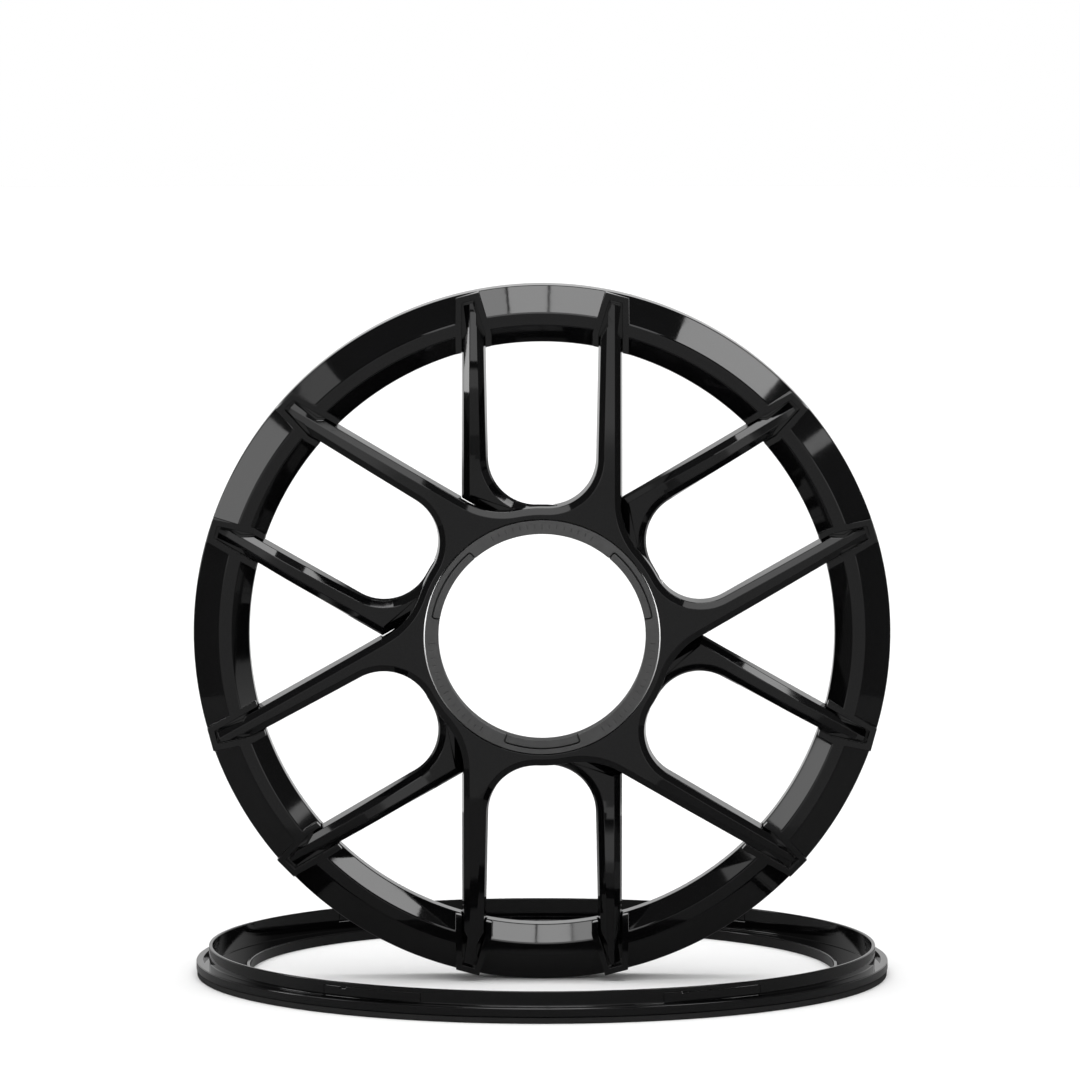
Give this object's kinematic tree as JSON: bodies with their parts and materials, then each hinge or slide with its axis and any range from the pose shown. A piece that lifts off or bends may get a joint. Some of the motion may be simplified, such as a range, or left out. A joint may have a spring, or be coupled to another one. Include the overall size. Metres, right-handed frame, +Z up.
{
  "type": "loudspeaker grille",
  "caption": "Gloss black grille shaped like a spoked racing wheel with an open hub, standing upright in its flat twist-on mounting ring.",
  "frame": {"origin": "centre of the mounting ring's underside, on the surface that it lies on", "axes": "+Z up, -Y the front that the wheel faces, +X to the right seen from the front"},
  "size_m": [0.33, 0.33, 0.33],
  "materials": {
    "gloss_black": "moulded gloss black",
    "gunmetal": "satin gunmetal",
    "foam_rubber": "matte closed-cell foam",
    "screw_steel": "black oxide"
  },
  "bodies": {
    "ring": {"mounting_ring": "gloss_black", "gasket": "foam_rubber"},
    "wheel": {"rim_ring": "gloss_black", "socket_ring": "gloss_black", "front_spider": "gloss_black", "rear_spider": "gloss_black", "tip_screw_01": "screw_steel", "tip_screw_02": "screw_steel", "tip_screw_03": "screw_steel", "tip_screw_04": "screw_steel", "tip_screw_05": "screw_steel", "tip_screw_06": "screw_steel", "tip_screw_07": "screw_steel", "tip_screw_08": "screw_steel", "tip_screw_09": "screw_steel", "tip_screw_10": "screw_steel", "tip_screw_11": "screw_steel", "tip_screw_12": "screw_steel", "hub_screw_1": "screw_steel", "hub_screw_2": "screw_steel", "hub_screw_3": "screw_steel", "hub_screw_4": "screw_steel", "hub_screw_5": "screw_steel", "hub_screw_6": "screw_steel"},
    "badge": {"badge_ring": "gunmetal", "badge_pad_1": "gunmetal", "badge_pad_2": "gunmetal", "badge_pad_3": "gunmetal"},
    "latch_1_tongue": {"latch_1": "gloss_black"},
    "latch_2_tongue": {"latch_2": "gloss_black"},
    "latch_3_tongue": {"latch_3": "gloss_black"},
    "latch_4_tongue": {"latch_4": "gloss_black"},
    "latch_5_tongue": {"latch_5": "gloss_black"},
    "latch_6_tongue": {"latch_6": "gloss_black"}
  },
  "joints": [
    {"name": "wheel_lift", "type": "slide", "parent": "ring", "child": "wheel", "axis": [0, 0, 1], "range_m": [0, 0.2]},
    {"name": "badge_pull", "type": "slide", "parent": "wheel", "child": "badge", "axis": [0, -1, 0], "range_m": [0, 0.02]},
    {"name": "latch_1_flex", "type": "hinge", "parent": "ring", "child": "latch_1_tongue", "pos_m": [0.15609, 0.02542, 0.0096], "axis": [0, 0, -1], "range_deg": [0, 2], "stiffness_Nm_per_rad": 0.2},
    {"name": "latch_2_flex", "type": "hinge", "parent": "ring", "child": "latch_2_tongue", "pos_m": [0.05603, 0.14789, 0.0096], "axis": [0, 0, -1], "range_deg": [0, 2], "stiffness_Nm_per_rad": 0.2},
    {"name": "latch_3_flex", "type": "hinge", "parent": "ring", "child": "latch_3_tongue", "pos_m": [-0.10006, 0.12247, 0.0096], "axis": [0, 0, -1], "range_deg": [0, 2], "stiffness_Nm_per_rad": 0.2},
    {"name": "latch_4_flex", "type": "hinge", "parent": "ring", "child": "latch_4_tongue", "pos_m": [-0.15609, -0.02542, 0.0096], "axis": [0, 0, -1], "range_deg": [0, 2], "stiffness_Nm_per_rad": 0.2},
    {"name": "latch_5_flex", "type": "hinge", "parent": "ring", "child": "latch_5_tongue", "pos_m": [-0.05603, -0.14789, 0.0096], "axis": [0, 0, -1], "range_deg": [0, 2], "stiffness_Nm_per_rad": 0.2},
    {"name": "latch_6_flex", "type": "hinge", "parent": "ring", "child": "latch_6_tongue", "pos_m": [0.10006, -0.12247, 0.0096], "axis": [0, 0, -1], "range_deg": [0, 2], "stiffness_Nm_per_rad": 0.2}
  ],
  "couplings": [
    {"joint": "latch_2_flex", "follows": "latch_1_flex", "ratio": 1},
    {"joint": "latch_3_flex", "follows": "latch_1_flex", "ratio": 1},
    {"joint": "latch_4_flex", "follows": "latch_1_flex", "ratio": 1},
    {"joint": "latch_5_flex", "follows": "latch_1_flex", "ratio": 1},
    {"joint": "latch_6_flex", "follows": "latch_1_flex", "ratio": 1}
  ]
}
